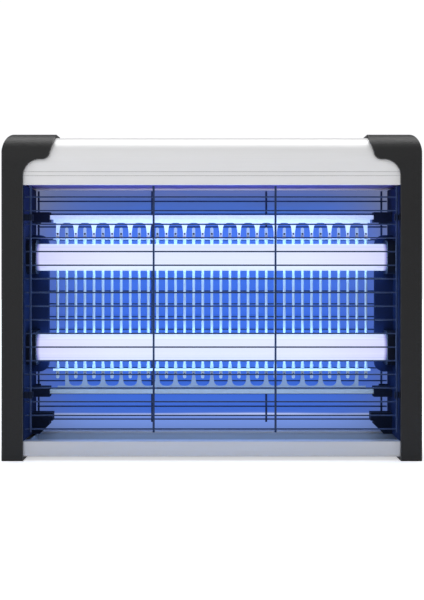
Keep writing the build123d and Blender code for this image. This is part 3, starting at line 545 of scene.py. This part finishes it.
# %% Fuse glass
fuse_glass, tree, shader = new_material("fuse glass", Roughness=0.08, Transmission_Weight=0.85)
shader.inputs["Base Color"].default_value = (0.85, 0.92, 0.92, 1)
place = add(tree, "ShaderNodeTexCoord")
waves = add(tree, "ShaderNodeTexNoise", Scale=150.0)
join(tree, place.outputs["Object"], waves.inputs["Vector"])
bump(tree, shader, waves.outputs["Fac"], 0.05, 0.0001)
print("fuse glass made")

# %% [markdown]
# ## Giving each part its finish
# The design frame names a material slot for every part, so one table from slot to finish
# dresses them all. A second, shorter table holds the parts whose finish differs from that of
# others in their slot by painted light: the rods and lower plates are painted darker than the
# upper bar, as if shaded, the carriers have the lamps' blue painted in, and the plate over the
# lamps has their violet painted in.

# %% Dress the parts
finish_of_slot = {
    "cap_plastic": cap_plastic,
    "inner_plastic": inner_plastic,
    "housing_aluminium": housing_aluminium,
    "rail_aluminium": rail_aluminium,
    "sheet_aluminium": sheet_aluminium,
    "guard_wire": guard_wire,
    "lamp_glass": lamp_glass,
    "lamp_cap_metal": lamp_metal,
    "contact_brass": contact_brass,
    "rotor_plastic": rotor_plastic,
    "grid_steel": bar_steel_painted_lit,
    "strip_plastic": strip_plastic,
    "screw_steel": screw_steel,
    "board_laminate": board_laminate,
    "core_steel": core_steel,
    "coil_tape": coil_tape,
    "film_capacitor_case": film_case,
    "can_aluminium": can_sleeve,
    "fuse_glass": fuse_glass,
    "lead_insulation": lead_plastic,
}
for subpart in frame["record"]["subparts"]:
    part = nodes[subpart["node"]]
    for holder in part.material_slots:
        holder.material = finish_of_slot[subpart["material_slot"]]
# Painted light: darker copies of the grid steel, and the lamps' blue and violet painted into
# carriers and floor plate.
painted_light_finishes = {
    "upper_hung_rods": rod_steel_painted_shaded,
    "lower_held_rods": rod_steel_painted_shaded,
    "bottom_comb": plate_steel_painted_shaded,
    "bottom_grid_bar": rod_steel_painted_shaded,
    "left_lamp_carrier": carrier_plastic_painted_blue,
    "right_lamp_carrier": carrier_plastic_painted_blue,
    "housing_floor": floor_plate_painted_violet,
}
for name, finish in painted_light_finishes.items():
    for holder in nodes[name].material_slots:
        holder.material = finish

# %% [markdown]
# ## Weld marks on the guards
# Where an upright crosses a horizontal wire, resistance welding leaves a small squeezed-out
# collar of metal. A bump in the material can't make it, because it stands out from the wire.
# So each crossing gets one tiny flattened bead, all in one mesh per guard, which swings with
# its guard. The crossings are found by measuring the wires, not by repeating their spacing.

# %% Find the wires
def islands_of(part):
    """The box of every separate solid in a part's mesh, as (low, high) corners."""
    mesh = bmesh.new()
    mesh.from_mesh(part.data)
    bmesh.ops.remove_doubles(mesh, verts=mesh.verts, dist=1e-6)
    seen_verts = set()
    boxes = []
    for start in mesh.verts:
        if start in seen_verts:
            continue
        stack = [start]
        seen_verts.add(start)
        island = []
        while stack:
            vert = stack.pop()
            island.append(vert.co.copy())
            for edge in vert.link_edges:
                other = edge.other_vert(vert)
                if other not in seen_verts:
                    seen_verts.add(other)
                    stack.append(other)
        low = Vector((min(p[i] for p in island) for i in range(3)))
        high = Vector((max(p[i] for p in island) for i in range(3)))
        boxes.append((low, high))
    mesh.free()
    return boxes


def middle(corners):
    return (corners[0] + corners[1]) / 2


print(len(islands_of(nodes["front_guard_wires"])), "wires in the front guard")


# %% Finish a piece
def finished_piece(name, mesh, material, smooth=True):
    """Turn a bmesh into a linked object with one material."""
    data = bpy.data.meshes.new(name)
    mesh.to_mesh(data)
    mesh.free()
    if smooth:
        data.shade_smooth()
    data.materials.append(material)
    piece = bpy.data.objects.new(name, data)
    bpy.context.scene.collection.objects.link(piece)
    return piece


# %% Weld beads
bead_radius = 0.0014
bead_squash = 0.75
bead_fineness = 2


def weld_beads(side):
    """One bead at each crossing of a guard's wires."""
    wires = islands_of(nodes[side + "_guard_wires"])
    uprights = islands_of(nodes[side + "_guard_uprights"])
    mesh = bmesh.new()
    for upright in uprights:
        for wire in wires:
            centre = (middle(upright) + middle(wire)) / 2
            centre.x = middle(upright).x
            centre.z = middle(wire).z
            made = bmesh.ops.create_icosphere(
                mesh, subdivisions=bead_fineness, radius=bead_radius)
            for vert in made["verts"]:
                vert.co.z *= bead_squash
                vert.co += centre
    beads = finished_piece(side + "_guard_weld_beads", mesh, guard_wire)
    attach(beads, side + "_guard")
    print(side, "guard:", len(uprights) * len(wires), "weld beads")


for guard_side in ("front", "rear"):
    weld_beads(guard_side)

# %% [markdown]
# ## Rivets in the grid's tips
# Every comb tooth and every free rod end has a small hole near its tip, closed by a blackened
# rivet. They are only two millimetres across, but all in a row they give the grid its dotted
# line. A dark spot in the material would lie flat from the side, so each is a little dome,
# front and back, with a shank through the hole, spun from one short profile.

# %% Where the rivets go
rivet_radius = 0.001
shank_radius = 0.00066
rivet_dome = 0.00035
rivet_sides = 12
hole_rise = 0.0053             # beyond the near face of the spacer strip

rivet_profile = [(0.0, rivet_dome), (0.55, rivet_dome * 0.8), (0.9, rivet_dome * 0.3), (1.0, 0.0)]
rod_places = sorted(middle(island).x for rods in ("upper_hung_rods", "lower_held_rods")
                    for island in islands_of(nodes[rods]))
comb_front, comb_back = (Vector(corner).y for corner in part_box("top_comb"))
strip_rows = [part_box("upper_spacer_strip")[0][2] + hole_rise,
              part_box("lower_spacer_strip")[1][2] - hole_rise]
print(len(rod_places), "rods, strips at", [round(row, 4) for row in strip_rows])


# %% One rivet
def rivet(mesh, x, z):
    """A closed rivet along Y: dome, shank, dome."""
    outline = [(share * rivet_radius, comb_front - rise) for share, rise in rivet_profile]
    outline.append((shank_radius, comb_front))
    outline.append((shank_radius, comb_back))
    back_profile = reversed(rivet_profile)
    outline.extend((share * rivet_radius, comb_back + rise) for share, rise in back_profile)
    rings = []
    for radius, y in outline:
        if radius == 0:
            rings.append([mesh.verts.new((x, y, z))] * rivet_sides)
            continue
        ring = []
        for i in range(rivet_sides):
            angle = 2 * math.pi * i / rivet_sides
            point = (x + radius * math.cos(angle), y, z + radius * math.sin(angle))
            ring.append(mesh.verts.new(point))
        rings.append(ring)
    for near, far in zip(rings, rings[1:]):
        for i in range(rivet_sides):
            j = (i + 1) % rivet_sides
            corners = dict.fromkeys((near[i], near[j], far[j], far[i]))
            mesh.faces.new(list(corners))


# %% All the rivets
rivet_mesh = bmesh.new()
for row in strip_rows:
    for x in rod_places:
        rivet(rivet_mesh, x, row)
bmesh.ops.recalc_face_normals(rivet_mesh, faces=rivet_mesh.faces)
rivets = finished_piece("grid_rivets", rivet_mesh, core_steel)
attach(rivets, "frame")
print(len(rod_places) * len(strip_rows), "rivets")

# %% [markdown]
# ## Studio floor
# A plain pale floor, wide enough to run past every view, under an equally pale surround. The
# floor glows faintly by itself, as a lit studio table does, more strongly further out, so it
# stays white up to the object and keeps only a soft shadow where the caps and rails come close
# to it. Little of that glow lights the object, whose lower parts would lose their shading.

# %% Studio floor
glow_near, glow_far = 0.5, 1.15          # emission strength
glow_start, glow_end = 0.35, 1.6         # distance from the middle over which it rises
glow_on_object = 0.3

floor_material, tree, shader = new_material("studio floor", Roughness=0.85)
shader.inputs["Emission Color"].default_value = (0.98, 0.98, 1.0, 1)
place = add(tree, "ShaderNodeTexCoord")
away = add(tree, "ShaderNodeVectorMath", operation="LENGTH")
join(tree, place.outputs["Object"], away.inputs[0])
far_off = add(tree, "ShaderNodeMapRange", interpolation_type="SMOOTHSTEP")
for socket, value in (("From Min", glow_start), ("From Max", glow_end),
                      ("To Min", glow_near), ("To Max", glow_far)):
    far_off.inputs[socket].default_value = value
join(tree, away.outputs["Value"], far_off.inputs["Value"])
path = add(tree, "ShaderNodeLightPath")
own_glow = spread(tree, path.outputs["Is Camera Ray"], glow_on_object, 1.0)
floor_glow = math_node(tree, "MULTIPLY", far_off.outputs["Result"], own_glow)
join(tree, floor_glow, shader.inputs["Emission Strength"])
fibre = add(tree, "ShaderNodeTexNoise", Scale=60.0, Detail=4.0)
join(tree, place.outputs["Object"], fibre.inputs["Vector"])
join(tree, blend_colours(tree, fibre.outputs["Fac"], (0.90, 0.90, 0.91), (0.93, 0.93, 0.935)),
     shader.inputs["Base Color"])
print("floor glow rises from", glow_near, "to", glow_far)

# %% Floor disc
floor_radius = 6.0
floor_sides = 96
floor_rings = 6

floor_mesh = bmesh.new()
rings = []
for step in range(1, floor_rings + 1):
    radius = floor_radius * (step / floor_rings) ** 2
    ring = []
    for i in range(floor_sides):
        angle = 2 * math.pi * i / floor_sides
        ring.append(floor_mesh.verts.new((radius * math.cos(angle), radius * math.sin(angle), 0.0)))
    rings.append(ring)
floor_mesh.faces.new(rings[0])
for near, far in zip(rings, rings[1:]):
    for i in range(floor_sides):
        j = (i + 1) % floor_sides
        floor_mesh.faces.new((near[i], far[i], far[j], near[j]))
finished_piece("studio_floor", floor_mesh, floor_material, smooth=False)
print("floor", 2 * floor_radius, "m across")

# %% [markdown]
# ## What is seen through the zapper
# With the lamps lit, whatever stands close behind the object is washed in blue, and that is what
# shows through the grid. A wall would do it too, but it would hide the object from behind. A
# small card does the work instead: it stands just behind the rear guard, no larger than the
# opening, and only its front is visible, so from behind one looks straight in. Its glow is
# painted lamp light: deep blue in the middle, paler near the tray with a thin painted highlight
# line, and greyer to the sides and upper corners, where the painted light falls off.

# %% Card glow
housing_low = Vector(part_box("top_housing")[0])
rail_high = Vector(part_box("rear_rail")[1])
carrier_face = Vector(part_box("right_lamp_carrier")[1]).x
card_foot = rail_high.z - 0.002
# Painted lamp light by height, with a thin painted highlight line in the pale stop near the tray.
height_stops = [
    (0.0, (0.13, 0.21, 0.48)), (0.05, (0.17, 0.28, 0.70)), (0.064, (0.15, 0.25, 0.66)),
    (0.071, (0.62, 0.70, 0.95)), (0.079, (0.046, 0.13, 0.55)), (0.14, (0.040, 0.125, 0.58)),
    (0.35, (0.026, 0.104, 0.56)), (0.62, (0.026, 0.104, 0.56)), (0.84, (0.048, 0.145, 0.68)),
    (0.92, (0.05, 0.13, 0.48)), (0.96, (0.060, 0.12, 0.38)), (1.0, (0.10, 0.14, 0.34))]
side_colour = (0.10, 0.125, 0.22)
corner_colour = (0.15, 0.17, 0.27)
glow_noise_stretch = (0.12, 1.0, 1.0)
glow_noise_wander = 0.16

card_material, tree, shader = new_material("card", Roughness=0.9, Emission_Strength=1.0)
shader.inputs["Base Color"].default_value = (0.02, 0.04, 0.12, 1)
place = add(tree, "ShaderNodeTexCoord")
split = add(tree, "ShaderNodeSeparateXYZ")
join(tree, place.outputs["Object"], split.inputs[0])
rise = spread(tree, split.outputs["Z"], 0.0, 1.0)
rise.node.inputs["From Min"].default_value = card_foot
rise.node.inputs["From Max"].default_value = housing_low.z
stretch = add(tree, "ShaderNodeVectorMath", operation="MULTIPLY")
stretch.inputs[1].default_value = glow_noise_stretch
join(tree, place.outputs["Object"], stretch.inputs[0])
glow_noise = add(tree, "ShaderNodeTexNoise", Scale=70.0, Detail=3.0)
join(tree, stretch.outputs[0], glow_noise.inputs["Vector"])
wander = math_node(tree, "MULTIPLY", math_node(tree, "SUBTRACT", glow_noise.outputs["Fac"], 0.5),
                   math_node(tree, "MULTIPLY", rise, glow_noise_wander))
upright_tone = ramp(tree, math_node(tree, "ADD", rise, wander), height_stops)
print("card glow from", round(card_foot, 4), "to", round(housing_low.z, 4), "m")

# %% Card sides and corners
# Painted falloff of the lamp light: greyer towards the sides and upper corners.
side_fade = math_node(tree, "ABSOLUTE", split.outputs["X"], 0.0)
side_fade = math_node(tree, "DIVIDE", side_fade, carrier_face)
side_fade = math_node(tree, "POWER", side_fade, 5.0)
side_fade = math_node(tree, "MULTIPLY", side_fade, 0.7)
card_glow = blend_colours(tree, side_fade, upright_tone.outputs["Color"], side_colour)
corner = math_node(tree, "MULTIPLY", side_fade, math_node(tree, "POWER", rise, 4.0))
corner = math_node(tree, "MULTIPLY", corner, 1.6)
card_glow = blend_colours(tree, corner, card_glow, corner_colour)
join(tree, card_glow, shader.inputs["Emission Color"])
facing = add(tree, "ShaderNodeNewGeometry")
clear = add(tree, "ShaderNodeBsdfTransparent")
choose = add(tree, "ShaderNodeMixShader")
join(tree, facing.outputs["Backfacing"], choose.inputs["Fac"])
join(tree, shader.outputs["BSDF"], choose.inputs[1])
join(tree, clear.outputs["BSDF"], choose.inputs[2])
join(tree, choose.outputs["Shader"], tree.nodes["Material Output"].inputs["Surface"])
print("card seen from the front only")

# %% Card sheet
card_gap = 0.0008              # in front of the rear rail's outer face

card_y = rail_high.y - card_gap
card_corners = [(-carrier_face, card_foot), (carrier_face, card_foot),
                (carrier_face, housing_low.z), (-carrier_face, housing_low.z)]
card_mesh = bmesh.new()
card_mesh.faces.new([card_mesh.verts.new((x, card_y, z)) for x, z in card_corners])
card = finished_piece("card", card_mesh, card_material, smooth=False)
print("card", round(2 * carrier_face, 3), "m wide, normal", tuple(card.data.polygons[0].normal))

# %% [markdown]
# ## Lights
# A broad soft light from above and in front models the housing's rounded shoulders, two strips
# at the sides draw a thin highlight down the caps, and an even pale surround fills the rest.
# The glowing tubes alone would light their neighbours slowly and with noise, so a few small
# coloured lights beside them help: blue on the grid, violet on the underside of the housing.

# %% Studio lights
def area_light(name, location, target, size, power, colour=(1, 1, 1)):
    data = bpy.data.lights.new(name, "AREA")
    data.shape = "RECTANGLE"
    data.size, data.size_y = size
    data.energy = power
    data.color = colour
    lamp = bpy.data.objects.new(name, data)
    lamp.location = location
    aim = Vector(target) - Vector(location)
    lamp.rotation_euler = aim.to_track_quat("-Z", "Y").to_euler()
    bpy.context.scene.collection.objects.link(lamp)
    lamp.visible_camera = False
    return lamp


middle_z = object_high.z / 2
area_light("key", (-0.3, -1.3, 1.0), (0, 0, middle_z), (2.2, 1.6), 8.8)
area_light("top", (0, 0.3, 1.5), (0, 0, middle_z), (1.8, 0.6), 14)
area_light("left strip", (-1.3, -0.5, 0.4), (0, 0, middle_z), (0.3, 1.4), 2.5)
area_light("right strip", (1.3, -0.5, 0.4), (0, 0, middle_z), (0.3, 1.4), 2.5)
print(len(bpy.data.lights), "studio lights")

# %% Pale surround
surround_light, surround_seen = 0.3, 1.05

world = bpy.data.worlds.new("surround")
world.use_nodes = True
background = world.node_tree.nodes["Background"]
background.inputs["Color"].default_value = (0.98, 0.98, 1.0, 1)
path = add(world.node_tree, "ShaderNodeLightPath")
surround = spread(world.node_tree, path.outputs["Is Camera Ray"], surround_light, surround_seen)
join(world.node_tree, surround, background.inputs["Strength"])
bpy.context.scene.world = world
print("surround made")

# %% Lamp light
lamp_gap = 0.002
glow_share = 0.96              # of the tube's length
strip_depth = 0.02
wide_glow = (0.32, 0.03)
back_way, up_way = Vector((0, 1, 0)), Vector((0, 0, 1))


def glow_light(name, start, way, size, power, colour):
    """A small area light that shines one way from beside a tube."""
    area_light(name, start, start + way, size, power, colour)


for level in ("upper", "lower"):
    low, high = (Vector(corner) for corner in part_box(level + "_tube_glass"))
    centre = (low + high) / 2
    strip = ((high.x - low.x) * glow_share, strip_depth)
    reach = (high.y - centre.y + lamp_gap) * back_way
    glow_light(level + " grid glow", centre + reach, back_way, strip, 0.10, (0.45, 0.75, 1.0))
    glow_light(level + " guard glow", centre - reach, -back_way, strip, 0.03, (0.4, 0.55, 1.0))
low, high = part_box("upper_tube_glass")
glow_light("housing glow", Vector((0, low[1], high[2] + lamp_gap)), up_way,
           wide_glow, 0.05, (0.35, 0.10, 1.0))
low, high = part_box("lower_tube_glass")
glow_light("tray glow", Vector((0, 0, low[2] - lamp_gap)), -up_way,
           wide_glow, 0.02, (0.3, 0.6, 1.0))
print(len(bpy.data.lights), "lights")

# %% [markdown]
# ## Colour
# A film-like display transform would grey the white floor and wash out the strong blue, so the
# plain one is used.

# %% Display and finish
bpy.context.scene.view_settings.view_transform = "Standard"
